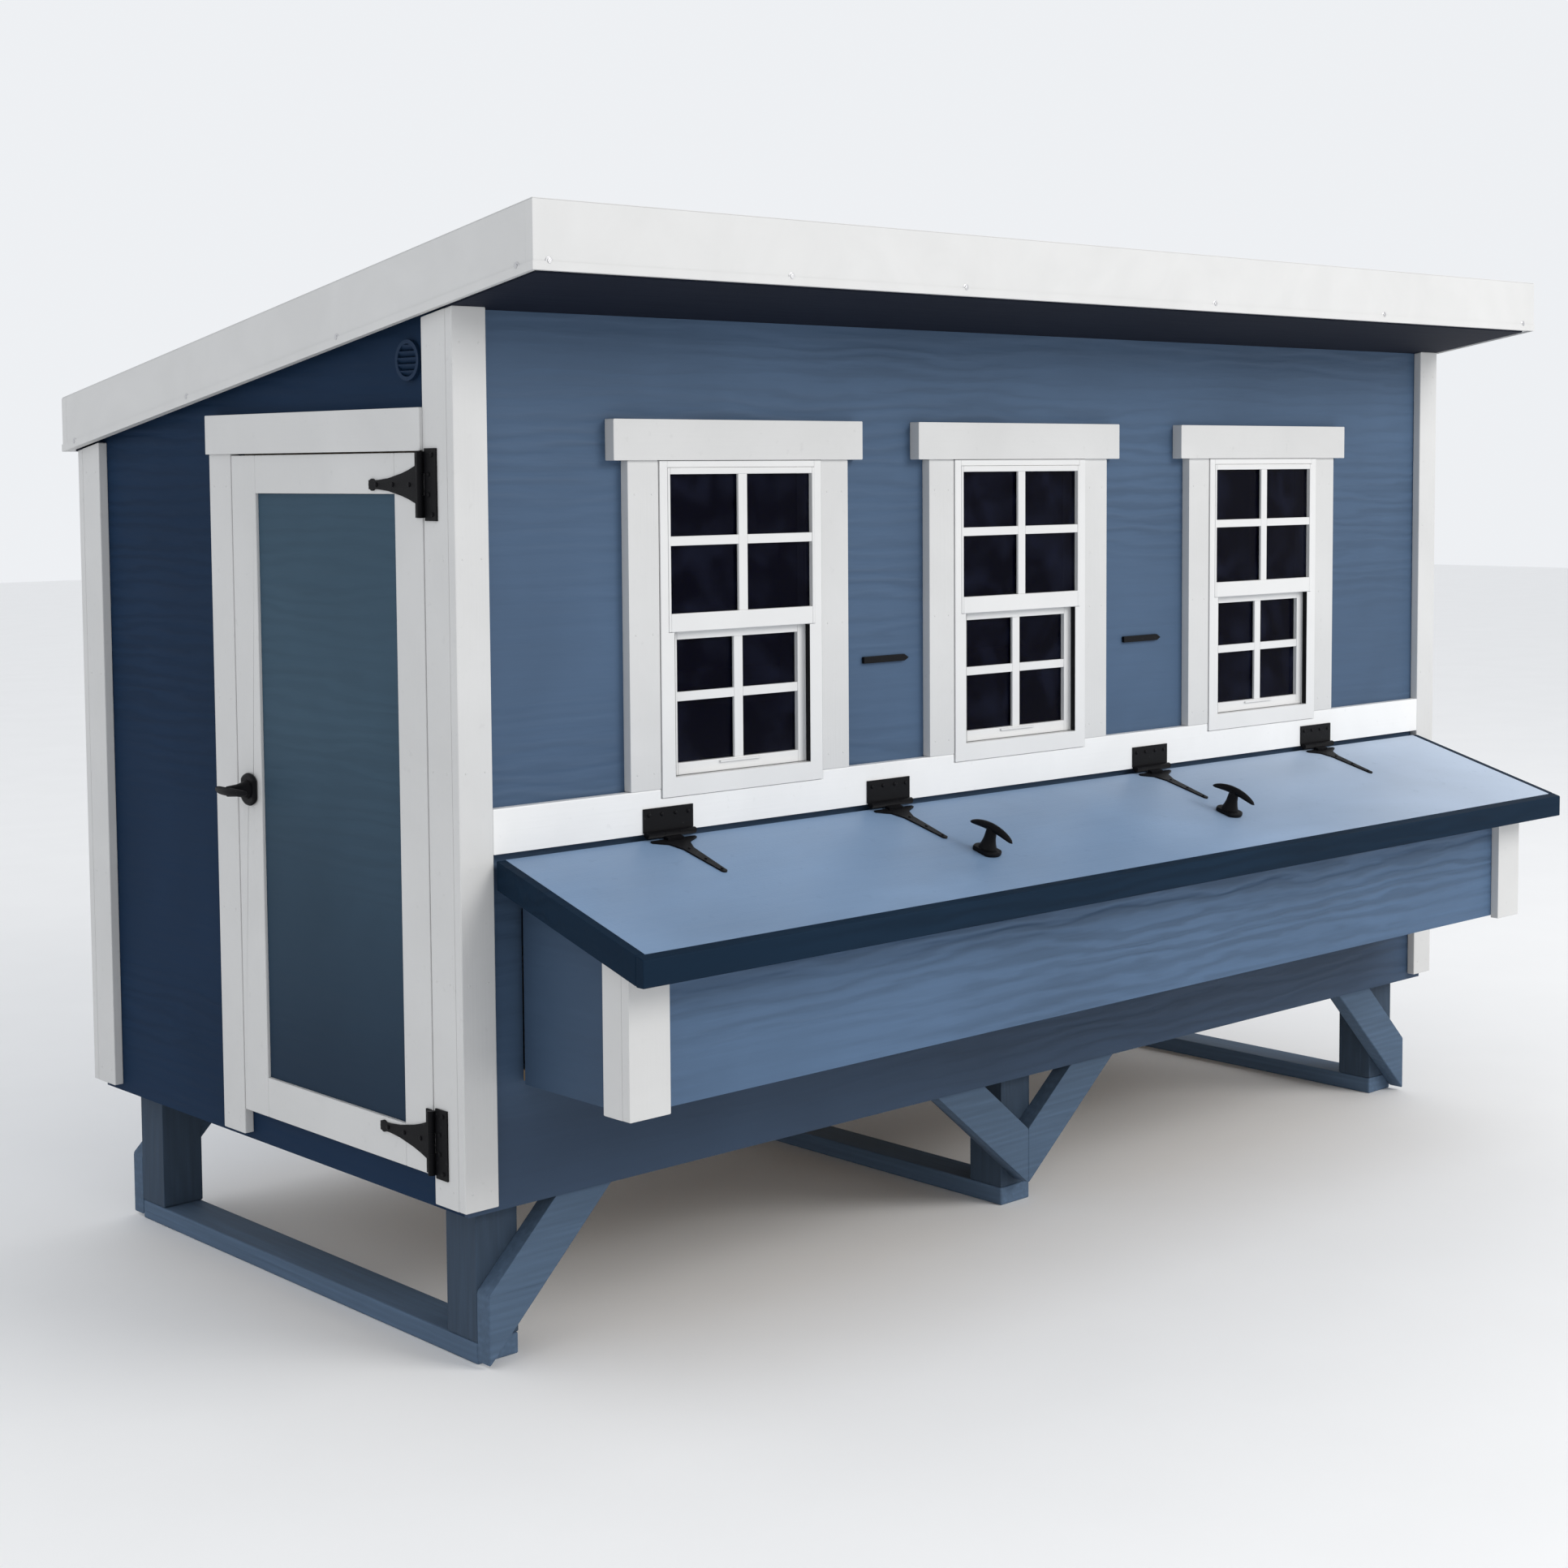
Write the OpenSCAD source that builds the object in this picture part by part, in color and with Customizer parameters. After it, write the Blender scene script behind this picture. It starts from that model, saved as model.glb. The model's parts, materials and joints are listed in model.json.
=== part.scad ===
// Raised chicken coop with a mono-pitch roof, an end door, three sliding windows
// and a nest box along the front under a hinged lid.
// X runs along the coop, the nest box is towards -Y, and the rails stand on z = 0.

/* [Body] */
// Length over the end trims
body_l = 2924; // [2900:2:2960]
// Depth over the front and rear trims
body_d = 1325; // [1300:5:1360]
// Underside of the siding
siding_z = 282; // [275:1:290]
// Underside of the corner trims
trim_z = 296; // [290:1:300]
// Width of a corner trim on the front and rear faces
trim_front_w = 70; // [60:1:76]
// Width of a corner trim on the end faces
trim_end_w = 89; // [80:1:89]

/* [Roof] */
// Top of the roof at its front edge
roof_z = 1982; // [1975:1:2000]
// Fall of the roof per unit of depth
roof_fall = 0.17; // [0.16:0.005:0.18]
// Overhang past the front trims
roof_front = 251; // [230:1:270]
// Overhang past the rear trims
roof_rear = 27; // [27:1:40]
// Height of the fascia
fascia_h = 110; // [105:1:115]
// Pitch of the ribs in the roofing sheet
rib_pitch = 229; // [200:1:300]

/* [Windows] */
// Centres of the three windows along X
window_x = [-821, -57, 763];
// Width of the opening between the casings
window_w = 400; // [390:1:410]
// Bottom of the window frames
window_z0 = 964; // [960:1:968]
// Top of the window frames
window_z1 = 1569; // [1560:1:1569]

/* [Door] */
// Hinge side edge of the door, behind the front trims
door_y0 = 92; // [92:1:94]
// Latch side edge of the door
door_y1 = 716; // [700:1:720]
// Bottom of the door
door_z0 = 345; // [344:1:350]
// Top of the door
door_z1 = 1585; // [1560:1:1585]

/* [Nest box] */
// Half length over the nest box trims
nest_half = 1352; // [1340:1:1360]
// Depth of the nest box in front of the wall
nest_d = 308; // [300:1:315]
// Bottom of the nest box
nest_z = 492; // [485:1:495]
// Half length of the lid
lid_half = 1389; // [1380:1:1395]
// Depth of the lid in front of the wall
lid_d = 392; // [385:1:400]
// Height of the lid's top plane at the wall
lid_z = 894; // [890:1:896]
// Rise of the lid per unit of depth
lid_rise = 0.298; // [0.28:0.002:0.3]

/* [Legs] */
// Side of a square post
post_w = 89; // [80:1:90]
// Angle of the end braces
end_brace_a = 45; // [42:1:47]
// Angle of the middle braces
mid_brace_a = 40; // [38:1:42]

/* [Ramp door] */
// Centre of the ramp door along X, in the rear wall
ramp_x = 750; // [700:10:800]
// Width of the ramp door
ramp_w = 350; // [330:5:370]
// Height of the ramp door
ramp_h = 528; // [500:2:540]

/* [Hidden] */
$fn = 48;

half = body_l / 2;
board_t = 19;                      // trim boards, lid and nest floor
siding_t = 11;
lumber_t = 38;                     // thickness of the framing lumber
lumber_w = 89;                     // width of the framing lumber
siding_y = board_t;                // front plane of the siding
frame_y = siding_y + siding_t;     // front plane of the framing
rear_y = body_d - frame_y;         // rear plane of the framing
frame_x = half - frame_y;          // end planes of the framing
floor_z = siding_z + 2 + lumber_w; // top of the floor frame
deck_z = floor_z + board_t;        // top of the floor panel
gap = 3;
seam = 0.06;                       // joint between neighbouring boards of one node
screw_h = 2.5;
grip_h = 59;                       // how far a handle stands off its board
mid_x = (board_t + screw_h - grip_h) / 2;
mid_y = (body_d + roof_rear + screw_h - lid_d) / 2;

roof_y0 = -roof_front;
roof_y1 = body_d + roof_rear;
deck_drop = 2 + 11.2;              // from the roof's top plane to the deck's underside
rafter_drop = deck_drop + 90.3;
soffit_drop = rafter_drop + 9.6;
rake_x = half + board_t;

nest_rise = 1;                     // clearance under the lid
lid_drop = 19.8;                   // lid panel thickness, measured plumb
lid_angle = atan(lid_rise);
lid_axis = [-9, 902];              // y and z of the lid hinges
lid_hinge_x = [-1007, -446, 358, 968];
lid_handle_x = [-412, 337];
lid_handle_y = -240;               // along the slope, from the wall
divider_x = [-1040, -602, -276, 162, 544, 982];
nest_open_z = [nest_z + 8, 800];   // the hens' way through the front wall

sash_y = [13, 33];
sash_z = [1001, 1290];
fixed_y = [-3, 10];
track_half = 171;                  // half width between the sash tracks
stop_half = 167;                   // half width between the stops in front of them
fixed_half = 180;                  // half width of a fixed upper sash

door_axis = [-7, 88];              // outward of the end trim face, and y
door_hinge_z = [404, 1531];
door_handle_yz = [670, 962];
vent_yz = [148, 1742];
vent_r = 35;

ramp_z = 372;                      // bottom edge of the ramp door
ramp_axis = [1320, 366];           // y and z
ramp_open = [300, 400, 860];       // width, bottom and top of the hens' doorway
button_z = 945;

pin_r = 3;
shaft_r = 6;
run_gap = 0.05;                    // radial clearance of pins and shafts

function roof_top(y) = roof_z - roof_fall * (y + roof_front);
function lid_top(y) = lid_z + lid_rise * y;
function inset(p) = [p[0] + seam / 2, p[1] - seam / 2];

// Everything below is drawn from the front trim plane, then centred over its own box.
module placed() translate([-mid_x, -mid_y, 0]) children();

module board(x, y, z) translate([x[0], y[0], z[0]]) cube([x[1] - x[0], y[1] - y[0], z[1] - z[0]]);

// A board that leaves half a seam on every side
module piece(x, y, z) board(inset(x), inset(y), inset(z));

// A y-z outline extruded along X
module along_x(x, pts) translate([x[0], 0, 0]) rotate([90, 0, 90]) linear_extrude(x[1] - x[0]) polygon(pts);

// An x-z outline extruded along Y
module along_y(y, pts) translate([0, y[1], 0]) rotate([90, 0, 0]) linear_extrude(y[1] - y[0]) polygon(pts);

module both_ends() {
    children();
    mirror([1, 0, 0]) children();
}

// A board that stands on a level and is cut to the roof's slope on top
module to_roof(x, y, z, drop) along_x(x, [
    [y[0], z], [y[1], z], [y[1], roof_top(y[1]) - drop], [y[0], roof_top(y[0]) - drop]
]);

// A layer of the roof between two depths under its top plane
module roof_layer(x, y, top, bottom) along_x(x, [
    [y[0], roof_top(y[0]) - bottom], [y[1], roof_top(y[1]) - bottom],
    [y[1], roof_top(y[1]) - top], [y[0], roof_top(y[0]) - top]
]);

// ---- Legs and floor ----

leg_x = [-(frame_x - lumber_t - post_w / 2), 0, frame_x - lumber_t - post_w / 2];
post_y = [frame_y + lumber_t, rear_y - lumber_t - post_w];

module rails() color("#46556a") placed()
    for (x = leg_x)
        board([x - post_w / 2, x + post_w / 2], [post_y[0], post_y[1] + post_w], [0, lumber_t]);

module posts() color("#46556a") placed()
    for (x = leg_x, y = post_y)
        board([x - post_w / 2, x + post_w / 2], [y, y + post_w], [lumber_t, floor_z]);

// Brace that rises away from the post's outer face at an angle, plumb at its foot and level on top
module end_brace(y) {
    x0 = -frame_x + lumber_t;
    top = siding_z + 2;
    foot = 5;
    rise = post_w / cos(end_brace_a);
    heel = foot + rise;
    run = (top - heel) / tan(end_brace_a);
    run_low = (top - foot) / tan(end_brace_a);
    along_y(y, [[x0, foot], [x0, heel], [x0 + run, top], [x0 + run_low, top]]);
}

// Brace that meets its twin on the middle post's centre line
module mid_brace(y) {
    top = siding_z + 2;
    foot = 48;
    heel = foot + post_w / cos(mid_brace_a);
    run = (top - heel) / tan(mid_brace_a);
    run_low = (top - foot) / tan(mid_brace_a);
    along_y(y, [[seam / 2, foot], [seam / 2, heel], [run, top], [run_low, top]]);
}

module braces() color("#46556a") placed()
    for (y = [[frame_y, frame_y + lumber_t], [rear_y - lumber_t, rear_y]])
        both_ends() {
            end_brace(y);
            mid_brace(y);
        }

module floor_frame() color("#7d6a4c") placed() {
    z = [siding_z + 2, floor_z];
    inner = frame_x - lumber_t;
    board([-frame_x, frame_x], [frame_y, frame_y + lumber_t], z);
    board([-frame_x, frame_x], [rear_y - lumber_t, rear_y], z);
    both_ends() piece([inner, frame_x], [frame_y + lumber_t, rear_y - lumber_t], z);
    for (i = [-3, -2, -1, 1, 2, 3])
        piece([i * 340 - lumber_t / 2, i * 340 + lumber_t / 2], [frame_y + lumber_t, rear_y - lumber_t], z);
}

module floor_panel() color("#a58f66") placed()
    board([-frame_x, frame_x], [frame_y, rear_y], [floor_z, deck_z]);

// ---- Siding ----

siding_half = half - board_t;

// Intervals along X between the windows, out to the corners
pier_x = [
    [-siding_half, window_x[0] - window_w / 2], [window_x[0] + window_w / 2, window_x[1] - window_w / 2],
    [window_x[1] + window_w / 2, window_x[2] - window_w / 2], [window_x[2] + window_w / 2, siding_half]
];

nest_in = nest_half - board_t - siding_t; // half length inside the nest box

module siding_front() color("#4b617a") placed() {
    y = [siding_y, frame_y];
    piece([-siding_half, siding_half], y, [siding_z, nest_open_z[0]]);
    both_ends() piece([nest_in, siding_half], y, nest_open_z);
    piece([-siding_half, siding_half], y, [nest_open_z[1], window_z0]);
    for (x = pier_x)
        piece(x, y, [window_z0, window_z1 + 1]);
    to_roof(inset([-siding_half, siding_half]), inset(y), window_z1 + 1 + seam / 2, soffit_drop);
}

module siding_rear() color("#4b617a") placed() {
    y = [rear_y, rear_y + siding_t];
    left = ramp_x - ramp_open[0] / 2;
    right = ramp_x + ramp_open[0] / 2;
    piece([-siding_half, siding_half], y, [siding_z, ramp_open[1]]);
    piece([-siding_half, left], y, [ramp_open[1], ramp_open[2]]);
    piece([right, siding_half], y, [ramp_open[1], ramp_open[2]]);
    to_roof(inset([-siding_half, siding_half]), inset(y), ramp_open[2] + seam / 2, soffit_drop);
}

module vent_hole() translate([0, vent_yz[0], vent_yz[1]]) rotate([0, 90, 0])
    cylinder(r = vent_r - 8, h = 3 * half, center = true);

module siding_left() color("#2a394b") placed() {
    x = [-siding_half, -frame_x];
    y0 = frame_y;
    y1 = rear_y;
    piece(x, [y0, y1], [siding_z, door_z0 - gap]);
    piece(x, [y0, door_y0 - 1], [door_z0 - gap, door_z1 + gap]);
    piece(x, [door_y1 + 1, y1], [door_z0 - gap, door_z1 + gap]);
    difference() {
        to_roof(inset(x), inset([y0, y1]), door_z1 + gap + seam / 2, deck_drop + 0.5);
        vent_hole();
    }
}

module siding_right() color("#2a394b") placed()
    difference() {
        to_roof([frame_x, siding_half], [frame_y, rear_y], siding_z, deck_drop + 0.5);
        vent_hole();
    }

// ---- Wall and roof framing ----

plate_y = [[frame_y, frame_y + lumber_w], [rear_y - lumber_w, rear_y]];

// A stud between the sole plate and the top plate
module stud(x, y) to_roof([x, x + lumber_t], y, deck_z + lumber_t, rafter_drop + lumber_t);

module wall_studs() color("#a58f66") placed() {
    for (wx = window_x) {
        stud(wx - window_w / 2 - lumber_t, plate_y[0]);
        stud(wx + window_w / 2, plate_y[0]);
        for (z = [window_z0 - lumber_t, window_z1 + 1])
            piece([wx - window_w / 2, wx + window_w / 2], plate_y[0], [z, z + lumber_t]);
    }
    both_ends() stud(frame_x - lumber_t, plate_y[0]);
    both_ends() stud(frame_x - lumber_t, plate_y[1]);
    for (x = [-800, -100])
        stud(x, plate_y[1]);
    stud(ramp_x - ramp_open[0] / 2 - lumber_t, plate_y[1]);
    stud(ramp_x + ramp_open[0] / 2, plate_y[1]);
    piece([ramp_x - ramp_open[0] / 2, ramp_x + ramp_open[0] / 2], plate_y[1],
        [ramp_open[2], ramp_open[2] + lumber_t]);
    // Flat studs beside the door, the latch side one pocketed for the cam
    x = [-frame_x, -frame_x + lumber_t];
    difference() {
        to_roof(x, [door_y1 - 9, door_y1 - 9 + lumber_w], deck_z, rafter_drop);
        board([x[0] - 1, x[0] + 12], [door_y1 - 10, door_y1 + 30],
            [door_handle_yz[1] - 14, door_handle_yz[1] + 48]);
    }
    piece(x, [plate_y[0][1], door_y1 - 9], [door_z1 - 12, door_z1 - 12 + lumber_w]);
    for (y = [420, 860])
        to_roof([frame_x - lumber_t, frame_x], [y, y + lumber_w], deck_z, rafter_drop);
}

module wall_plates() color("#a58f66") placed() {
    inner = frame_x - lumber_t;
    board([-inner, inner], plate_y[0], [deck_z, deck_z + lumber_t]);
    board([-inner, ramp_x - ramp_open[0] / 2], plate_y[1], [deck_z, deck_z + lumber_t]);
    board([ramp_x + ramp_open[0] / 2, inner], plate_y[1], [deck_z, deck_z + lumber_t]);
    for (y = plate_y)
        roof_layer([-frame_x, frame_x], y, rafter_drop, rafter_drop + lumber_t);
}

module rafters() color("#a58f66") placed() {
    pitch = (2 * frame_x - lumber_t) / 7;
    for (i = [0 : 7])
        roof_layer([-frame_x + i * pitch, -frame_x + i * pitch + lumber_t],
            [roof_y0 + board_t, roof_y1 - board_t], deck_drop, rafter_drop);
}

module roof_deck() color("#a58f66") placed()
    roof_layer([-half, half], [roof_y0 + board_t, roof_y1 - board_t], 2, deck_drop);

module roof_metal() color("#e8e8e6") placed() {
    x = rake_x - 1;
    roof_layer([-x, x], [roof_y0 + 1, roof_y1 - 1], 0.4, 1.8);
    for (i = [-6 : 6])
        roof_layer([i * rib_pitch - 11, i * rib_pitch + 11], [roof_y0 + 46, roof_y1 - 1], -8, 0.6);
}

module roof_soffit() color("#16243a") placed() {
    roof_layer([-half, half], [roof_y0 + board_t, siding_y], rafter_drop, soffit_drop);
    roof_layer([-half, half], [rear_y + siding_t, roof_y1 - board_t], rafter_drop, soffit_drop);
}

// Front and rear fascia, with a rake board at each end between them
module roof_fascia() color("#ecebea") placed() {
    for (y = [[roof_y0, roof_y0 + board_t], [roof_y1 - board_t, roof_y1]])
        roof_layer([-rake_x, rake_x], y, 2, fascia_h);
    both_ends() roof_layer([half, rake_x], inset([roof_y0 + board_t, roof_y1 - board_t]), 2, fascia_h);
}

module screw_head() cylinder(r = 5, h = screw_h);

module roof_screws() color("#b8bcc0") placed() {
    for (x = [-1450, -927, -489, 254, 858, 1432]) {
        translate([x, roof_y0, roof_top(roof_y0) - fascia_h + 11]) rotate([90, 0, 0]) screw_head();
        translate([x, roof_y1, roof_top(roof_y1) - fascia_h + 11]) rotate([-90, 0, 0]) screw_head();
    }
    both_ends() for (y = [-208, 317, 842, 1300])
        translate([rake_x, y, roof_top(y) - fascia_h + 11]) rotate([0, 90, 0]) screw_head();
}

// ---- White trims ----

module corner_trims() color("#dedddb") placed()
    both_ends() {
        to_roof([half - trim_front_w, half], [0, siding_y], trim_z, soffit_drop);
        to_roof([half - board_t, half], inset([siding_y, trim_end_w]), trim_z, soffit_drop);
        to_roof([half - board_t, half], inset([body_d - trim_end_w, body_d - board_t]), trim_z, soffit_drop);
        to_roof([half - trim_front_w, half], [body_d - board_t, body_d], trim_z, soffit_drop);
    }

casing_w = 70;
band_z = [903, 981];

// The band is notched under the three window frames
module band_board() color("#dedddb") placed()
    difference() {
        board([-half + trim_front_w, half - trim_front_w], [0, siding_y], band_z);
        for (wx = window_x)
            board([wx - window_w / 2, wx + window_w / 2], [-1, siding_y + 1], [window_z0, band_z[1] + 1]);
    }

module window_casings() color("#dedddb") placed()
    for (wx = window_x, s = [-1, 1])
        translate([wx + s * (window_w + casing_w) / 2, 0, 0])
            board([-casing_w / 2, casing_w / 2], [0, siding_y], [band_z[1], window_z1 + 1]);

module window_headers() color("#dedddb") placed()
    for (wx = window_x)
        board([wx - window_w / 2 - casing_w - 35, wx + window_w / 2 + casing_w + 35], [-6, siding_y],
            [window_z1 + 1, window_z1 + 74]);

// ---- Windows ----

// Two stiles, two rails and, in front of the glass, a cross of muntins
module sash_bars(wx, y, z, half_w, stile, low, high, cross_z) {
    for (s = [-1, 1])
        translate([wx + s * (half_w - stile / 2), 0, 0]) piece([-stile / 2, stile / 2], y, z);
    in = half_w - stile;
    piece([wx - in, wx + in], y, [z[0], z[0] + low]);
    piece([wx - in, wx + in], y, [z[1] - high, z[1]]);
    bar_y = [y[0] + 1, y[0] + 7];
    piece([wx - muntin / 2, wx + muntin / 2], bar_y, [z[0] + low, z[1] - high]);
    piece([wx - in, wx - muntin / 2], bar_y, cross_z);
    piece([wx + muntin / 2, wx + in], bar_y, cross_z);
}

muntin = 22;
module pane(wx, y, z, in) piece([wx - in, wx + in], [y, y + 3], z);

fixed_z = [1262, 1557];
fixed_cross = [1417, 1434];
sash_cross = [1135, 1152];
sash_stile = 20;
sash_half = track_half - 2;
frame_front = -2;
frame_rear = 36;
stop_y = [fixed_y[1] + 0.5, sash_y[0] - 0.5];

// Right-hand jamb of a window frame, in plan: a track with a stop in front of it
module jamb_plan(front_half) {
    outer = window_w / 2 - 2;
    polygon([
        [front_half, frame_front], [outer, frame_front], [outer, frame_rear], [track_half, frame_rear],
        [track_half, stop_y[1]], [stop_half, stop_y[1]], [stop_half, stop_y[0]], [front_half, stop_y[0]]
    ]);
}

module window_frames() color("#e6e6e4") placed()
    for (wx = window_x) translate([wx, 0, 0]) {
        for (s = [0, 1]) mirror([s, 0, 0]) {
            translate([0, 0, window_z0 + 1]) linear_extrude(fixed_z[0] - window_z0 - 1.5)
                jamb_plan(stop_half + 0.001);
            translate([0, 0, fixed_z[0] - 1]) linear_extrude(window_z1 - fixed_z[0] + 1)
                jamb_plan(fixed_half + 0.5);
        }
        in = stop_half - seam;
        board([-in, in], [frame_front, frame_rear], [window_z0 + 1, sash_z[0] - 1]);
        difference() {
            board([-fixed_half, fixed_half], [frame_front, frame_rear], [fixed_z[1] + 0.5, window_z1]);
            for (s = [0, 1]) mirror([s, 0, 0])
                board([in, fixed_half + 1], [stop_y[0] - seam, frame_rear + 1], [fixed_z[1], window_z1 + 1]);
        }
    }

module upper_sashes() color("#e6e6e4") placed()
    for (wx = window_x)
        sash_bars(wx, fixed_y, fixed_z, fixed_half, 6, 33, 12, fixed_cross);

module upper_glass() color("#10141a") placed()
    for (wx = window_x)
        pane(wx, fixed_y[1] - 4, [fixed_z[0] + 33, fixed_z[1] - 12], fixed_half - 6);

module sash(i) color("#e6e6e4") placed()
    sash_bars(window_x[i], sash_y, sash_z, sash_half, sash_stile, 22, 43, sash_cross);

module sash_glass(i) color("#10141a") placed()
    pane(window_x[i], sash_y[0] + 9, [sash_z[0] + 22, sash_z[1] - 43], sash_half - sash_stile);

// ---- End door ----

module door_jamb() color("#c6c6c7") placed()
    board([-half, -siding_half], [door_y1 + gap, 797], [trim_z, door_z1 + gap]);

module door_header() color("#c6c6c7") placed()
    board([-half - 6, -siding_half], [trim_end_w, 800], [door_z1 + gap, door_z1 + gap + 73]);

module handle_hole() translate([-half, door_handle_yz[0], door_handle_yz[1]]) rotate([0, 90, 0])
    cylinder(r = shaft_r + 1, h = 200, center = true);

door_field = [door_y0 + 84, door_y1 - 84, door_z0 + 75, door_z1 - 70]; // inside the door's frame

module door_frame() color("#c6c6c7") placed() {
    x = [-half, -siding_half];
    board(x, [door_y0, door_field[0]], [door_z0, door_z1]);
    difference() {
        board(x, [door_field[1], door_y1], [door_z0, door_z1]);
        handle_hole();
    }
    board(x, inset([door_field[0], door_field[1]]), [door_z0, door_field[2]]);
    board(x, inset([door_field[0], door_field[1]]), [door_field[3], door_z1]);
}

// A full slab behind the frame, raised where the frame leaves it open
module door_panel() color("#3a4a5c") placed()
    difference() {
        union() {
            board([-siding_half, -siding_half + 10], [door_y0 + 2, door_y1 - 2], [door_z0 + 1, door_z1 - 1]);
            board([-half + 6, -siding_half + 1], [door_field[0] + 0.5, door_field[1] - 0.5],
                [door_field[2] + 0.5, door_field[3] - 0.5]);
        }
        handle_hole();
    }

// Outer knuckles and pin along Z
module fixed_knuckles(l, r) {
    cylinder(r = pin_r, h = l, center = true);
    for (s = [-1, 1])
        translate([0, 0, s * l / 3]) cylinder(r = r, h = l / 3, center = true);
}

hinge_l = 56;
tee_l = 112;                       // length of the wide hinges of the door and the lid
tee_w = 61;                        // half width of their leaves
knuckle_r = 6.5;
leaf_t = 3;
root = 1.5;                        // how far a leaf's end stops from the pin's axis

module door_hinge_plates() color("#15161a") placed()
    for (z = door_hinge_z) translate([-half, 0, z]) {
        board([-leaf_t, 0], [47, door_axis[1] - 7], [-tee_w, tee_w]);
        for (s = [-1, 1])
            translate([0, 0, s * tee_l / 3])
                board([-leaf_t, 0], [door_axis[1] - 8, door_axis[1] - root], [-tee_l / 6, tee_l / 6]);
        translate([door_axis[0], door_axis[1], 0]) fixed_knuckles(tee_l, knuckle_r);
    }

module door_hinge_straps() color("#15161a") placed()
    for (z = door_hinge_z) translate([-half, 0, z]) difference() {
        union() {
            board([-leaf_t, 0], [door_axis[1] + 7, 109], [-56, 56]);
            board([-leaf_t, 0], [door_axis[1] + root, door_axis[1] + 8], [-tee_l / 6 + 0.3, tee_l / 6 - 0.3]);
            translate([-leaf_t, 0, 0]) rotate([90, 0, 90]) linear_extrude(leaf_t)
                polygon([
                    [108, -32], [128, -25], [150, -19], [190, -11], [222, -8], [250, -8],
                    [250, 8], [222, 8], [190, 11], [150, 19], [128, 25], [108, 32]
                ]);
            translate([-leaf_t, 240, 0]) rotate([0, 90, 0]) cylinder(r = 10.5, h = leaf_t);
            translate([door_axis[0], door_axis[1], 0])
                cylinder(r = knuckle_r, h = tee_l / 3 - 0.6, center = true);
        }
        translate([door_axis[0], door_axis[1], 0]) cylinder(r = pin_r + run_gap, h = tee_l, center = true);
    }

// Handle base with a bore for the shaft, its axis along Z and its foot at z = 0
module rose(r, squeeze) difference() {
    intersection() {
        cylinder(r = r, h = 9);
        board([-squeeze, squeeze], [-r, r], [0, 9]);
    }
    cylinder(r = shaft_r + run_gap, h = 40, center = true);
}

// T-shaped grip on a shaft along Z: the bar lies along Y, the cam points along +X
module t_handle(depth, cam_l) {
    stem = 45;
    translate([0, 0, -depth]) cylinder(r = shaft_r, h = depth + stem);
    translate([0, 0, 9.3]) cylinder(r1 = 18, r2 = 11, h = stem - 9.3);
    // Arched bar: the outline is a band under an arc that droops at both tips
    steps = 12;
    droop = 13;
    reach = 57;
    top = [for (i = [-steps : steps]) [reach * i / steps, stem + 14 - droop * pow(i / steps, 2)]];
    low = [for (i = [steps : -1 : -steps]) [reach * i / steps, stem - 2 + (6 - droop) * pow(i / steps, 2)]];
    translate([-8, 0, 0]) rotate([90, 0, 90]) linear_extrude(16) polygon(concat(top, low));
    // Cam at the inner end of the shaft
    board([-9, cam_l], [-9, 9], [-depth, -depth + 4]);
}

// The handle's frame on the door: Z points out of the door, Y along the coop's Y
module on_door() translate([-half, door_handle_yz[0], door_handle_yz[1]]) rotate([0, -90, 0]) children();

module door_rose() color("#15161a") placed()
    on_door() rotate([0, 0, 90]) rose(31, 25);

module door_handle() color("#15161a") placed()
    on_door() t_handle(36, 56);

// ---- Vents ----

// Round louvre whose face points along +Z
module vent() {
    difference() {
        cylinder(r = vent_r, h = 8);
        translate([0, 0, -1]) cylinder(r = vent_r - 7, h = 10);
    }
    intersection() {
        cylinder(r = vent_r - 6.5, h = 8);
        for (i = [-2 : 2])
            translate([i * 11, 0, 4]) rotate([0, 40, 0]) cube([11, 2 * vent_r, 2], center = true);
    }
}

module vents() color("#b9bbbd") placed()
    both_ends() translate([siding_half, vent_yz[0], vent_yz[1]]) rotate([0, 90, 0]) vent();

// ---- Nest box ----

// A nest box board cut on top to the lid's underside
module to_lid(x, y, z) along_x(x, [
    [y[0], z], [y[1], z],
    [y[1], lid_top(y[1]) - lid_drop - nest_rise], [y[0], lid_top(y[0]) - lid_drop - nest_rise]
]);

nest_y = [-nest_d + board_t, -nest_d + board_t + siding_t];

module nest_front() color("#55698c") placed()
    to_lid([-nest_half + board_t, nest_half - board_t], nest_y, nest_z + 6);

module nest_ends() color("#2a394b") placed()
    both_ends() to_lid([nest_in, nest_half - board_t], [nest_y[1], 0], nest_z + 6);

module nest_floor() color("#a58f66") placed()
    board([-nest_in, nest_in], [nest_y[1], frame_y], [nest_z + 8, nest_z + 8 + board_t]);

module nest_dividers() color("#a58f66") placed()
    for (x = divider_x)
        to_lid([x - 9.5, x + 9.5], [nest_y[1], 0], nest_z + 8 + board_t);

module nest_trims() color("#dedddb") placed()
    both_ends() {
        to_lid([nest_half - 88, nest_half], [-nest_d, -nest_d + board_t], nest_z);
        to_lid([nest_half - board_t, nest_half], inset([-nest_d + board_t, -nest_d + 68]), nest_z);
    }

// Boards that keep the bedding in, between the studs
module nest_lip() color("#a58f66") placed()
    board([-nest_in, nest_in], [plate_y[0][1], plate_y[0][1] + board_t],
        [nest_open_z[0], nest_open_z[0] + 66]);

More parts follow.
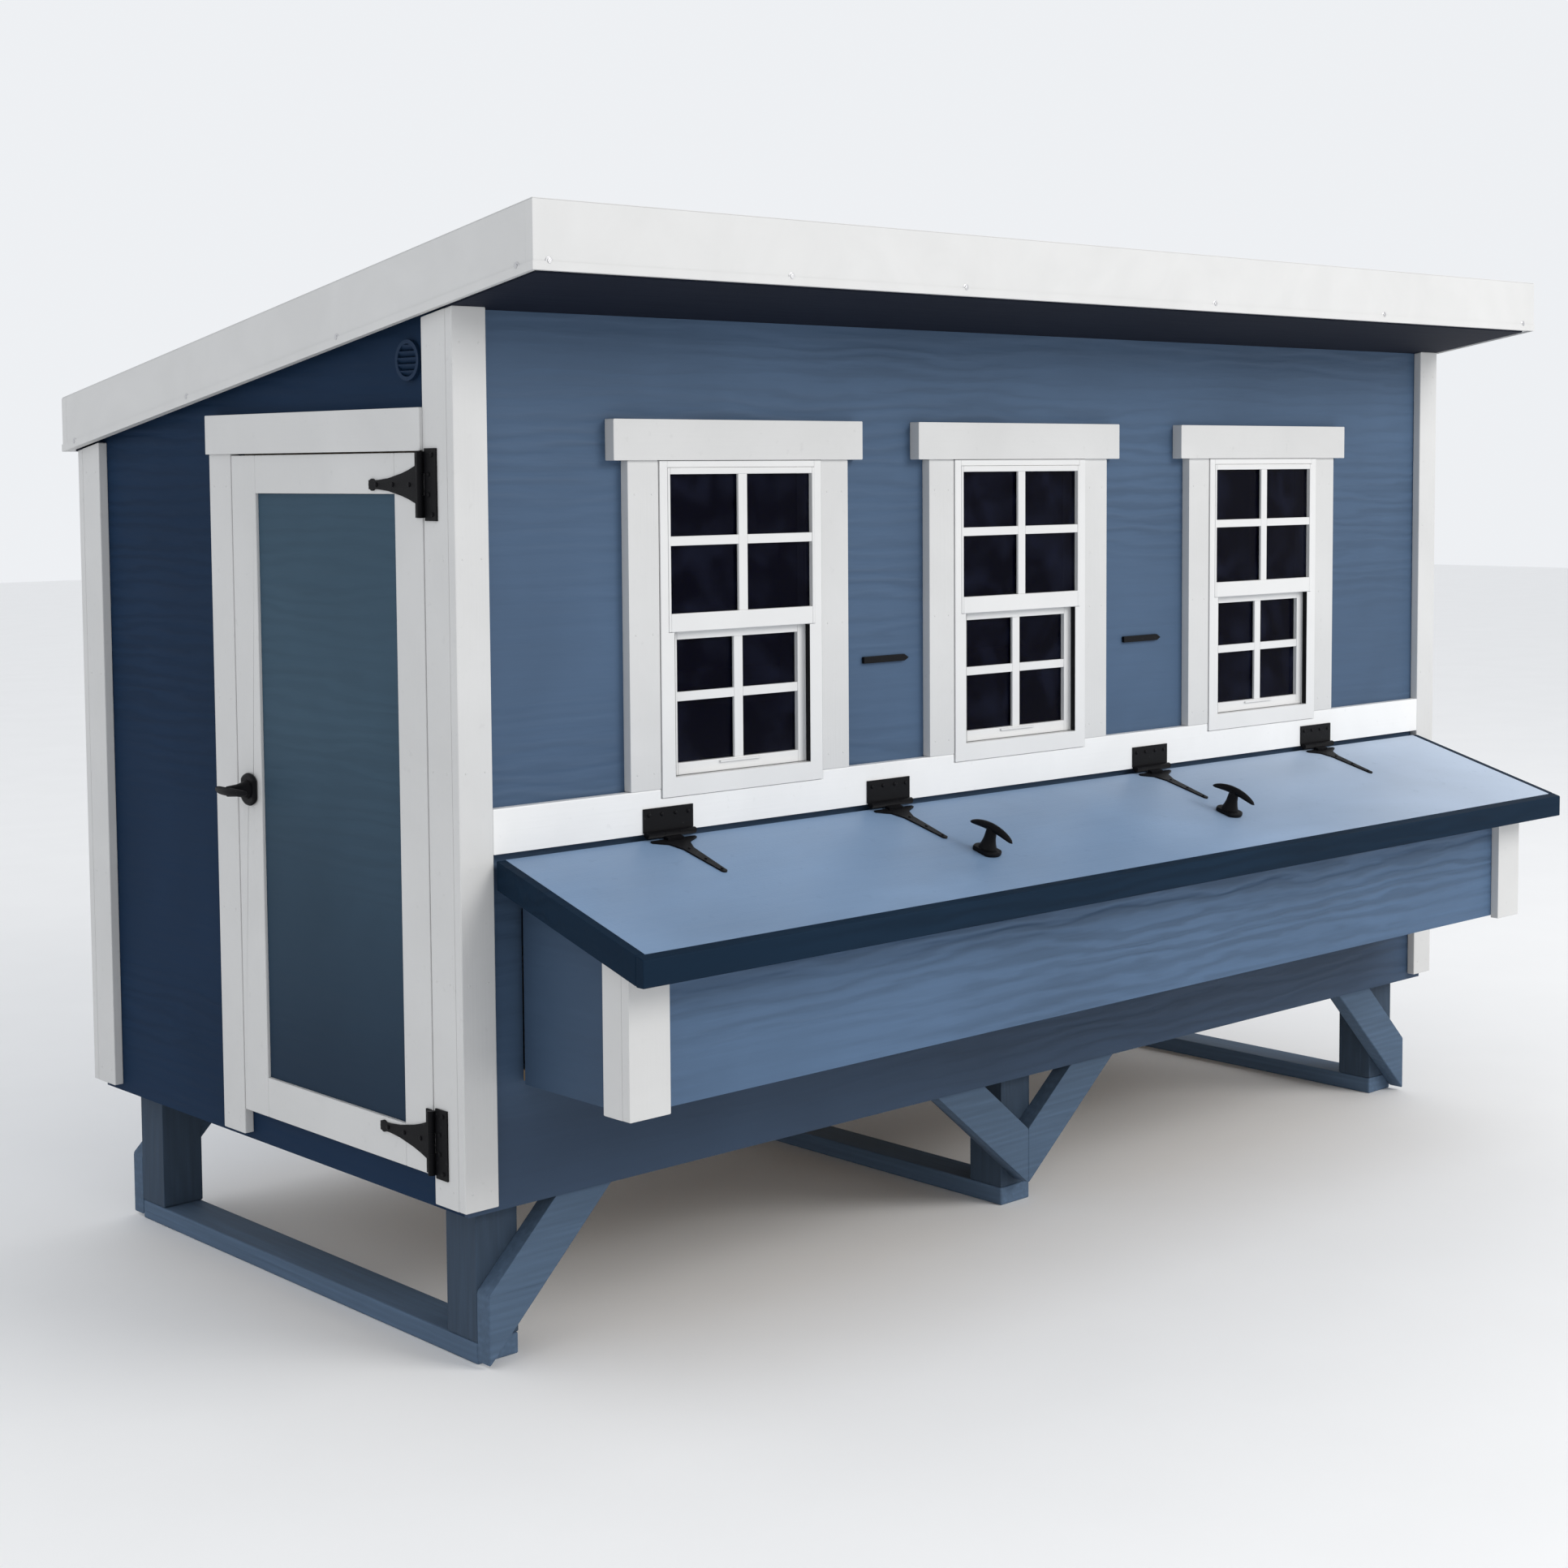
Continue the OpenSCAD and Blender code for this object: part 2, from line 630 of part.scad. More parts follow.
module lid_catches() color("#a58f66") placed()
    for (x = lid_handle_x) {
        y = [nest_y[1], nest_y[1] + 30];
        along_x([x - 30, x + 30], [
            [y[0], lid_top(y[0]) - 39], [y[1], lid_top(y[1]) - 39],
            [y[1], lid_top(y[1]) - 23], [y[0], lid_top(y[0]) - 23]
        ]);
    }

// ---- Nest box lid ----

// The lid's frame: Y along the slope from the wall, Z out of its top
module on_lid() translate([0, 0, lid_z]) rotate([lid_angle, 0, 0]) children();

module lid_panel() color("#9fb2cb") placed()
    difference() {
        along_x([-lid_half + board_t, lid_half - board_t], [
            [-lid_d + board_t, lid_top(-lid_d + board_t) - lid_drop], [-gap, lid_top(-gap) - lid_drop],
            [-gap, lid_top(-gap)], [-lid_d + board_t, lid_top(-lid_d + board_t)]
        ]);
        for (x = lid_handle_x)
            on_lid() translate([x, lid_handle_y, -30]) cylinder(r = shaft_r + 1, h = 60);
    }

module lid_edges() color("#3c4a60") placed() {
    y = [-lid_d, -lid_d + board_t];
    along_x([-lid_half, lid_half], [
        [y[0], lid_top(y[0]) - 46], [y[1], lid_top(y[0]) - 46], [y[1], lid_top(y[1])], [y[0], lid_top(y[0])]
    ]);
    both_ends() along_x([lid_half - board_t, lid_half], [
        [y[1] + seam, lid_top(y[1]) - 50], [-gap, lid_top(-gap) - 50],
        [-gap, lid_top(-gap)], [y[1] + seam, lid_top(y[1] + seam)]
    ]);
}

module lid_hinge_leaves() color("#15161a") placed()
    for (x = lid_hinge_x) translate([x, 0, 0]) {
        board([-tee_w + 3, tee_w - 3], [-leaf_t, 0], [lid_axis[1] + 4, 949]);
        for (s = [-1, 1])
            translate([s * tee_l / 3, 0, 0])
                board([-tee_l / 6, tee_l / 6], [lid_axis[0] + pin_r + 0.8, 0],
                    [lid_axis[1] - 2, lid_axis[1] + 5]);
        translate([0, lid_axis[0], lid_axis[1]]) rotate([0, 90, 0]) fixed_knuckles(tee_l, knuckle_r - 0.5);
    }

module lid_hinge_straps() color("#15161a") placed()
    for (x = lid_hinge_x) translate([x, 0, 0]) difference() {
        union() {
            on_lid() linear_extrude(leaf_t)
                polygon([
                    [-52, -14], [-52, -20], [-24, -34], [-12, -60], [-6, -158],
                    [6, -158], [12, -60], [24, -34], [52, -20], [52, -14]
                ]);
            on_lid() translate([0, -158, 0]) cylinder(r = 6.4, h = leaf_t);
            on_lid() board([-tee_l / 6 + 0.3, tee_l / 6 - 0.3], [-22, -10.2], [0, 8]);
            translate([0, lid_axis[0], lid_axis[1]]) rotate([0, 90, 0])
                cylinder(r = knuckle_r - 0.5, h = tee_l / 3 - 0.6, center = true);
        }
        translate([0, lid_axis[0], lid_axis[1]]) rotate([0, 90, 0])
            cylinder(r = pin_r + run_gap, h = tee_l, center = true);
    }

module lid_roses() color("#15161a") placed()
    for (x = lid_handle_x)
        on_lid() translate([x, lid_handle_y, 0]) rose(28, 21);

module lid_handle(i) color("#15161a") placed()
    on_lid() translate([lid_handle_x[i], lid_handle_y, 0]) t_handle(45, 45);

// Dark keepers on the wall, level with the handles of a raised lid
module wall_keepers() color("#15161a") placed()
    for (x = [-435, 349])
        along_y([siding_y - 7, siding_y], [
            [x - 62, 1176], [x + 50, 1176], [x + 62, 1182], [x + 50, 1189], [x - 62, 1189]
        ]);

// ---- Roosts ----

roost_yz = [[900, 800], [1120, 980]]; // each bar's front face and underside

module roost_bars() color("#a58f66") placed()
    for (p = roost_yz)
        board([-frame_x + lumber_t, frame_x - lumber_t], [p[0], p[0] + lumber_t], [p[1], p[1] + lumber_w]);

module roost_cleats() color("#a58f66") placed()
    both_ends() for (p = roost_yz)
        board([frame_x - lumber_t - 60, frame_x - lumber_t], [p[0] - 20, p[0] + lumber_t + 20],
            [p[1] - lumber_t, p[1]]);

// ---- Ramp door in the rear wall ----

module ramp_door() color("#3a4a5c") placed() {
    board([ramp_x - ramp_w / 2, ramp_x + ramp_w / 2], [rear_y + siding_t, body_d], [ramp_z, ramp_z + ramp_h]);
    for (i = [0 : 4])
        board([ramp_x - 130, ramp_x + 130], [rear_y + 1, rear_y + siding_t - seam],
            [ramp_open[1] + 30 + i * 90, ramp_open[1] + 45 + i * 90]);
}

// The fixed leaf reaches out under the ramp door; its pair of knuckles carries the pin
module ramp_hinge_leaf() {
    y = rear_y + siding_t;
    board([-25, 25], [y, y + 2.5], [ramp_axis[1] - 46, ramp_axis[1] - 6]);
    for (s = [-1, 1])
        translate([s * hinge_l / 3, 0, 0])
            board([-hinge_l / 6, hinge_l / 6], [y, ramp_axis[0] - 4], [ramp_axis[1] - 9, ramp_axis[1] - 3]);
    translate([0, ramp_axis[0], ramp_axis[1]]) rotate([0, 90, 0]) fixed_knuckles(hinge_l, 5.5);
}

module ramp_hinges() color("#15161a") placed() {
    for (s = [-1, 1])
        translate([ramp_x + s * 110, 0, 0]) ramp_hinge_leaf();
    // Pivot screw of the turn button
    translate([ramp_x, rear_y + siding_t, button_z]) rotate([-90, 0, 0]) {
        cylinder(r = pin_r, h = 27);
        translate([0, 0, 26]) cylinder(r = 6, h = 3);
    }
}

module ramp_straps() color("#15161a") placed()
    for (s = [-1, 1]) translate([ramp_x + s * 110, 0, 0]) difference() {
        union() {
            board([-14, 14], [body_d, body_d + 2.5], [ramp_z + 2, ramp_z + 90]);
            board([-hinge_l / 6 + 0.3, hinge_l / 6 - 0.3], [ramp_axis[0] + root, body_d + 2.5],
                [ramp_axis[1] + 1, ramp_z + 3]);
            translate([0, ramp_axis[0], ramp_axis[1]]) rotate([0, 90, 0])
                cylinder(r = 5.5, h = hinge_l / 3 - 0.6, center = true);
        }
        translate([0, ramp_axis[0], ramp_axis[1]]) rotate([0, 90, 0])
            cylinder(r = pin_r + run_gap, h = hinge_l, center = true);
        board([-20, 20], [rear_y, body_d], [ramp_z - 0.2, ramp_z + ramp_h]);
    }

// Turn button with its spacer, lying along X when it lets the ramp door go
module ramp_button() color("#15161a") placed() translate([ramp_x, 0, button_z]) difference() {
    y = rear_y + siding_t + 0.3;
    union() {
        translate([0, body_d + 1, 0]) rotate([90, 0, 0]) cylinder(r = 10, h = body_d + 1 - y);
        board([-14, 70], [body_d + 0.5, body_d + 6.5], [-12, 12]);
    }
    translate([0, body_d, 0]) rotate([90, 0, 0]) cylinder(r = pin_r + run_gap, h = 100, center = true);
}

rails();
posts();
braces();
floor_frame();
floor_panel();
siding_front();
siding_rear();
siding_left();
siding_right();
wall_studs();
wall_plates();
rafters();
roof_deck();
roof_metal();
roof_soffit();
roof_fascia();
roof_screws();
corner_trims();
band_board();
window_casings();
window_headers();
window_frames();
upper_sashes();
upper_glass();
sash(0);  // sash_1
sash(1);  // sash_2
sash(2);  // sash_3
sash_glass(0);  // sash_glass_1
sash_glass(1);  // sash_glass_2
sash_glass(2);  // sash_glass_3
door_jamb();
door_header();
door_hinge_plates();
vents();
nest_front();
nest_ends();
nest_floor();
nest_dividers();
nest_trims();
nest_lip();
lid_hinge_leaves();
lid_catches();
wall_keepers();
roost_bars();
roost_cleats();
door_frame();
door_panel();
door_hinge_straps();
door_rose();
door_handle();
lid_panel();
lid_edges();
lid_hinge_straps();
lid_roses();
lid_handle(0);  // lid_handle_1
lid_handle(1);  // lid_handle_2
ramp_door();
ramp_straps();
ramp_hinges();
ramp_button();
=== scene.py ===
import json
import math

import bmesh
import bpy
from mathutils import Matrix, Vector


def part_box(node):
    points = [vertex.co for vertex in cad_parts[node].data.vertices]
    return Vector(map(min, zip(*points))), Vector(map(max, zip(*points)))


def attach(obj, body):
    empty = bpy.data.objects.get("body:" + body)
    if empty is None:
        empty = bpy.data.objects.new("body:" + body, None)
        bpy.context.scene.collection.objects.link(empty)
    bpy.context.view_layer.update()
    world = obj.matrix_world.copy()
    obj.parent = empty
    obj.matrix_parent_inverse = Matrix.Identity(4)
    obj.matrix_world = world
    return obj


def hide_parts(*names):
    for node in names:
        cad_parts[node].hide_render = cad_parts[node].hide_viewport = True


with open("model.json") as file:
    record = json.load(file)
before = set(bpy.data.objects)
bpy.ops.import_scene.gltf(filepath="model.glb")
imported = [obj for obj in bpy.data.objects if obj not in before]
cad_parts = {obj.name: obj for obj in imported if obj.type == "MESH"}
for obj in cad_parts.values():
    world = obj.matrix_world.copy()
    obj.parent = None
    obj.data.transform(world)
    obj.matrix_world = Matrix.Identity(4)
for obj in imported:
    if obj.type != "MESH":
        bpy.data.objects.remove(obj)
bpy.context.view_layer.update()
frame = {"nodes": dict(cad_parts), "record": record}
NODES = frame["nodes"]
JOINTS = {joint["name"]: joint for joint in frame["record"]["behaviour"]["joints"]}

# Linear base colours
BLUE = (0.062, 0.105, 0.176)
# The siding paint darkened as painted shade for the end walls and their vent
BLUE_END_SHADED = (0.0102, 0.0265, 0.060)
BLUE_DOOR = (0.045, 0.082, 0.119)
# The blue paint darkened as painted shade for the lid's edges under the lid
BLUE_EDGE_SHADED = (0.006, 0.018, 0.037)
# The lid's blue is the siding paint made lighter as a painted reflection of the sky
LID_BLUE_SHEEN = (0.188, 0.284, 0.432)
LEG_BLUE = (0.062, 0.098, 0.152)
# The soffit's navy, darkened further as painted shade under the roof overhang
NAVY_SHADED = (0.004, 0.007, 0.018)
WHITE = (0.60, 0.60, 0.595)
# The trim white made lighter as painted light for the band board, against the lid's shade on it
WHITE_BAND_LIT = (0.80, 0.80, 0.795)
WHITE_METAL = (0.61, 0.61, 0.605)
VINYL_DARK = (0.66, 0.66, 0.655)
VINYL_LIGHT = (0.72, 0.72, 0.715)
TIMBER = (0.26, 0.185, 0.11)
BLACK = (0.004, 0.004, 0.005)
STEEL = (0.55, 0.55, 0.56)
BARE_METAL = (0.3, 0.3, 0.31)
# Glass colours: near black as painted shade of the room behind, a bluish tint as painted reflection, dusty
# patches a little lighter
GLASS_SHADE = (0.001, 0.001, 0.005)
GLASS_DUST_OVER_SHADE = (0.012, 0.015, 0.034)
GLASS_ALPHA = 0.75
FLOOR_DARK = (0.86, 0.86, 0.86)
FLOOR_LIGHT = (0.9, 0.9, 0.9)

# Camera: place in metres, turn in degrees, sensor and lens in millimetres
CAMERA_AT = (-3.8337, -3.8777, 1.5519)
CAMERA_TURN = (85.914, 0.397, -42.680)
SENSOR_WIDTH = 36
LENS = 56.87
LENS_SHIFT = (0.0011, -0.0876)

# Studio light, in watts and metres
WORLD_COLOUR = (0.95, 0.97, 1.0, 1)
WORLD_STRENGTH = 0.9
KEY_POWER = 375
FILL_POWER = 12
FLOOR_SIZE = 60


# ---- Camera and studio ----

def add_camera():
    data = bpy.data.cameras.new("camera")
    data.sensor_width = SENSOR_WIDTH
    data.lens = LENS
    data.shift_x, data.shift_y = LENS_SHIFT
    camera = bpy.data.objects.new("camera", data)
    camera.location = CAMERA_AT
    camera.rotation_euler = [math.radians(angle) for angle in CAMERA_TURN]
    bpy.context.collection.objects.link(camera)
    bpy.context.scene.camera = camera


def add_area(name, location, target, size, power, colour):
    data = bpy.data.lights.new(name, "AREA")
    data.shape = "RECTANGLE"
    data.size, data.size_y = size
    data.energy = power
    data.color = colour
    lamp = bpy.data.objects.new(name, data)
    lamp.location = location
    aim = Vector(target) - Vector(location)
    lamp.rotation_euler = aim.to_track_quat("-Z", "Y").to_euler()
    bpy.context.collection.objects.link(lamp)


def add_floor():
    bpy.ops.mesh.primitive_plane_add(size=FLOOR_SIZE)
    floor = bpy.context.object
    floor.name = "floor"
    shade = Shader("pale_floor")
    grain = shade.noise(shade.coords(), 3.0, 4)
    shade.colour(shade.mix(grain, FLOOR_DARK, FLOOR_LIGHT))
    shade.surface(roughness=0.75)
    floor.data.materials.append(shade.material)


def add_studio():
    world = bpy.data.worlds.new("studio")
    bpy.context.scene.world = world
    world.use_nodes = True
    background = world.node_tree.nodes["Background"]
    background.inputs["Color"].default_value = WORLD_COLOUR
    background.inputs["Strength"].default_value = WORLD_STRENGTH
    add_area("key", (3.2, -7.5, 5.4), (0.2, 0, 0.9), (4.5, 3.5), KEY_POWER, (1.0, 0.98, 0.95))
    add_area("fill", (-7.5, -1.0, 3.2), (-1.0, 0, 1.0), (4, 3), FILL_POWER, (0.9, 0.95, 1.0))
    bpy.context.scene.view_settings.view_transform = "Standard"
    add_floor()


# ---- Materials ----

class Shader:
    """A small builder over one material's nodes"""

    def __init__(self, name):
        self.material = bpy.data.materials.new(name)
        self.material.use_nodes = True
        self.tree = self.material.node_tree
        self.bsdf = self.tree.nodes["Principled BSDF"]

    def node(self, kind, **inputs):
        """Adds a node; an input's name is written with _ for each space"""
        made = self.tree.nodes.new(kind)
        for key, value in inputs.items():
            self.feed(made.inputs[key.replace("_", " ")], value)
        return made

    def feed(self, socket, value):
        if isinstance(value, bpy.types.NodeSocket):
            self.tree.links.new(value, socket)
        else:
            socket.default_value = value

    def coords(self, scale=(1, 1, 1)):
        place = self.tree.nodes.new("ShaderNodeTexCoord").outputs["Object"]
        return self.node("ShaderNodeMapping", Vector=place, Scale=scale).outputs["Vector"]

    def place(self, axis):
        """The object's own X, Y or Z in metres"""
        return self.node("ShaderNodeSeparateXYZ", Vector=self.coords()).outputs[axis]

    def noise(self, vector, scale, detail, distortion=0.0):
        made = self.node("ShaderNodeTexNoise", Vector=vector, Scale=scale, Detail=detail,
                         Distortion=distortion)
        return made.outputs["Fac"]

    def waves(self, vector, axis, scale, distortion, detail, detail_scale):
        made = self.node("ShaderNodeTexWave", Vector=vector, Scale=scale, Distortion=distortion,
                         Detail=detail, Detail_Scale=detail_scale)
        made.bands_direction = axis
        return made.outputs["Fac"]

    def ramp(self, value, low, high):
        """0 up to low, 1 from high on, and even in between"""
        return self.node("ShaderNodeMapRange", Value=value, From_Min=low, From_Max=high).outputs["Result"]

    def combine(self, operation, first, second):
        made = self.tree.nodes.new("ShaderNodeMath")
        made.operation = operation
        self.feed(made.inputs[0], first)
        self.feed(made.inputs[1], second)
        return made.outputs["Value"]

    def times(self, first, second):
        return self.combine("MULTIPLY", first, second)

    def plus(self, first, second):
        return self.combine("ADD", first, second)

    def uneven(self, noise, swing, low):
        """A value that a noise takes from low up to low + swing"""
        return self.plus(self.times(noise, swing), low)

    def mix(self, factor, first, second):
        made = self.tree.nodes.new("ShaderNodeMix")
        made.data_type = "RGBA"
        self.feed(made.inputs[0], factor)
        for socket, value in ((made.inputs[6], first), (made.inputs[7], second)):
            self.feed(socket, value if isinstance(value, bpy.types.NodeSocket) else (*value, 1))
        return made.outputs[2]

    def scaled(self, value, gain):
        """A colour with each channel multiplied by its own gain"""
        made = self.tree.nodes.new("ShaderNodeVectorMath")
        made.operation = "MULTIPLY"
        self.feed(made.inputs[0], value)
        made.inputs[1].default_value = gain
        return made.outputs["Vector"]

    def colour(self, value):
        self.feed(self.bsdf.inputs["Base Color"], value)

    def surface(self, roughness, metallic=0.0, shine=0.5):
        self.feed(self.bsdf.inputs["Roughness"], roughness)
        self.bsdf.inputs["Metallic"].default_value = metallic
        self.bsdf.inputs["Specular IOR Level"].default_value = shine

    def bump(self, height, distance):
        """Adds a bump of a distance in metres on top of those that are there already"""
        before = self.bsdf.inputs["Normal"]
        made = self.node("ShaderNodeBump", Height=height, Distance=distance, Strength=1.0)
        if before.is_linked:
            self.tree.links.new(before.links[0].from_socket, made.inputs["Normal"])
        self.tree.links.new(made.outputs["Normal"], before)


# Coordinate scale along a board's grain, against 1 across it, and the direction of its growth bands
LENGTHWISE = 0.16
ACROSS = {"X": "Z", "Y": "Z", "Z": "DIAGONAL"}


def tint(colour, gain):
    return tuple(min(channel * gain, 1.0) for channel in colour)


def grained(along, across, lengthwise):
    """Texture scales on X, Y and Z for a board whose grain runs along one of them"""
    return [lengthwise if axis == along else across for axis in "XYZ"]


def embossed(name, colour, along, depth=0.0014, roughness=0.55, fade=None, carve=0.5, shine=0.15):
    """Paint over embossed cedar grain: wandering ridges, fine streaks, calm fields, painted shade in the
    grain's hollows and a fade on one axis
    """
    shade = Shader(name)
    long = shade.coords(grained(along, 1, LENGTHWISE))
    streaks = shade.noise(shade.coords(grained(along, 90, 3.2)), 1.0, 3)
    ridges = shade.waves(long, ACROSS[along], 11.0, 9.0, 3.0, 1.6)
    swirls = shade.noise(long, 16.0, 3, 1.4)
    field = shade.ramp(shade.noise(long, 2.3, 2), 0.42, 0.62)
    carved = shade.times(ridges, shade.uneven(field, 0.92, 0.08))
    relief = shade.plus(carved, shade.times(swirls, 0.6))
    patches = shade.noise(shade.coords(), 2.1, 4, 0.3)
    tone = shade.mix(shade.ramp(patches, 0.3, 0.7), tint(colour, 0.86), tint(colour, 1.13))
    worn = shade.mix(shade.ramp(streaks, 0.30, 0.75), tint(colour, 0.82), tint(colour, 1.12))
    paint = shade.mix(shade.times(relief, carve), tone, worn)
    # Painted shade: the grain's hollows are darkened
    painted_hollow_shade = shade.times(shade.ramp(carved, 0.25, 0.8), carve * 0.5)
    paint = shade.mix(painted_hollow_shade, paint, tint(colour, 0.62))
    if fade:
        axis, start, end, gain = fade
        paint = shade.mix(shade.ramp(shade.place(axis), start, end), paint, shade.scaled(paint, gain))
    shade.colour(paint)
    shade.surface(shade.uneven(streaks, 0.16, roughness - 0.08), shine=shine)
    shade.bump(relief, depth)
    shade.bump(streaks, 0.00035)
    return shade.material


def painted_sheet(name, colour):
    """Smooth sheet under paint: faint clouding, roller texture, specks and a painted reflection that
    lightens it towards one end
    """
    shade = Shader(name)
    cloud = shade.noise(shade.coords(grained("X", 1, 0.5)), 3.4, 5, 0.5)
    base = shade.mix(shade.ramp(cloud, 0.3, 0.7), tint(colour, 0.86), tint(colour, 1.1))
    # Painted reflection: the colour lightens towards the sheet's +X end
    towards_end = shade.ramp(shade.place("X"), 0.0, 1.35)
    painted_sheen = shade.mix(towards_end, base, shade.scaled(base, (2.35, 1.85, 1.5)))
    specks = shade.ramp(shade.noise(shade.coords(), 46.0, 4), 0.64, 0.8)
    shade.colour(shade.mix(shade.times(specks, 0.25), painted_sheen, tint(colour, 0.6)))
    roller = shade.noise(shade.coords(), 210.0, 3)
    grain = shade.noise(shade.coords(grained("X", 60, 3)), 1.0, 3)
    shade.surface(shade.uneven(cloud, 0.2, 0.34), shine=0.35)
    shade.bump(roller, 0.0003)
    shade.bump(grain, 0.0005)
    return shade.material


def painted_board(name, colour, along, roughness=0.42, shine=0.5):
    """Planed board under smooth paint: brush lines, slight clouding and specks of dirt"""
    shade = Shader(name)
    brush = shade.noise(shade.coords(grained(along, 170, 5.0)), 1.0, 2)
    cloud = shade.noise(shade.coords(), 4.2, 5, 0.4)
    base = shade.mix(shade.ramp(cloud, 0.3, 0.72), tint(colour, 0.95), tint(colour, 1.03))
    specks = shade.ramp(shade.noise(shade.coords(), 60.0, 3), 0.66, 0.78)
    shade.colour(shade.mix(shade.times(specks, 0.2), base, tint(colour, 0.66)))
    shade.surface(shade.uneven(brush, 0.12, roughness - 0.06), shine=shine)
    shade.bump(brush, 0.00022)
    shade.bump(cloud, 0.0005)
    return shade.material


def rough_lumber(name, colour, along, stain):
    """Sawn lumber: growth rings, saw marks and checks; stain darkens and evens its colour"""
    shade = Shader(name)
    long = shade.coords(grained(along, 1, LENGTHWISE))
    rings = shade.waves(long, ACROSS[along], 22.0, 5.0, 3.0, 1.3)
    fibre = shade.noise(shade.coords(grained(along, 120, 4.0)), 1.0, 4)
    saw = shade.noise(shade.coords(grained(along, 9, 140)), 1.0, 2)
    checks = shade.ramp(shade.noise(shade.coords(grained(along, 150, 1.6)), 1.0, 2), 0.68, 0.74)
    grain = shade.mix(rings, tint(colour, 0.72 + 0.2 * stain), tint(colour, 1.2 - 0.14 * stain))
    fuzzy = shade.mix(shade.ramp(fibre, 0.3, 0.75), tint(colour, 0.78), grain)
    shade.colour(shade.mix(shade.times(checks, 1 - 0.75 * stain), fuzzy, tint(colour, 0.4)))
    shade.surface(shade.uneven(fibre, 0.2, 0.6), shine=0.2)
    shade.bump(rings, 0.0006 - 0.0004 * stain)
    shade.bump(fibre, 0.0007 - 0.0003 * stain)
    shade.bump(saw, 0.0003)
    return shade.material


def coated_metal(name, colour, roughness, peel=0.0002, metallic=0.0, wear=0.0, shine=0.5):
    """Powder coat or factory paint on sheet: orange peel, smudges and bare specks"""
    shade = Shader(name)
    peel_noise = shade.noise(shade.coords(), 900.0, 2)
    smudge = shade.noise(shade.coords(), 7.0, 4, 0.8)
    dull = shade.mix(shade.ramp(smudge, 0.32, 0.7), tint(colour, 0.965), tint(colour, 1.02))
    bare = shade.ramp(shade.noise(shade.coords(), 140.0, 4), 0.68, 0.74)
    shade.colour(shade.mix(shade.times(bare, wear), dull, BARE_METAL))
    shade.surface(shade.uneven(smudge, 0.2, roughness - 0.1), metallic, shine)
    shade.bump(peel_noise, peel)
    shade.bump(smudge, 0.0003)
    return shade.material


def vinyl(name):
    """Extruded window vinyl: slight clouding and a fine satin texture"""
    shade = Shader(name)
    fine = shade.noise(shade.coords(), 500.0, 2)
    cloud = shade.noise(shade.coords(), 9.0, 3)
    shade.colour(shade.mix(cloud, VINYL_DARK, VINYL_LIGHT))
    shade.surface(shade.uneven(fine, 0.1, 0.28))
    shade.bump(fine, 0.00008)
    return shade.material


def window_glass(name):
    """Flat glass, near black and mostly opaque as painted shade of the dark room behind, with a bluish tint
    as painted reflection: faint waviness and a thin film of dust
    """
    shade = Shader(name)
    dust = shade.noise(shade.coords(), 11.0, 5, 0.6)
    wavy = shade.noise(shade.coords(), 2.6, 1)
    shade.colour(shade.mix(shade.ramp(dust, 0.45, 0.95), GLASS_SHADE, GLASS_DUST_OVER_SHADE))
    shade.surface(shade.uneven(dust, 0.06, 0.02), shine=0.05)
    shade.bump(wavy, 0.0008)
    shade.bsdf.inputs["Alpha"].default_value = GLASS_ALPHA
    return shade.material


def plywood(name):
    """Bare plywood: flame figure and fine fibres along X"""
    shade = Shader(name)
    long = shade.coords(grained("X", 1, 0.12))
    flame = shade.waves(long, "DIAGONAL", 7.0, 12.0, 3.0, 1.2)
    fibre = shade.noise(shade.coords(grained("X", 160, 5)), 1.0, 3)
    sheet = shade.mix(flame, tint(TIMBER, 0.92), tint(TIMBER, 1.28))
    shade.colour(shade.mix(shade.times(fibre, 0.5), sheet, tint(TIMBER, 0.8)))
    shade.surface(0.72)
    shade.bump(fibre, 0.0003)
    return shade.material


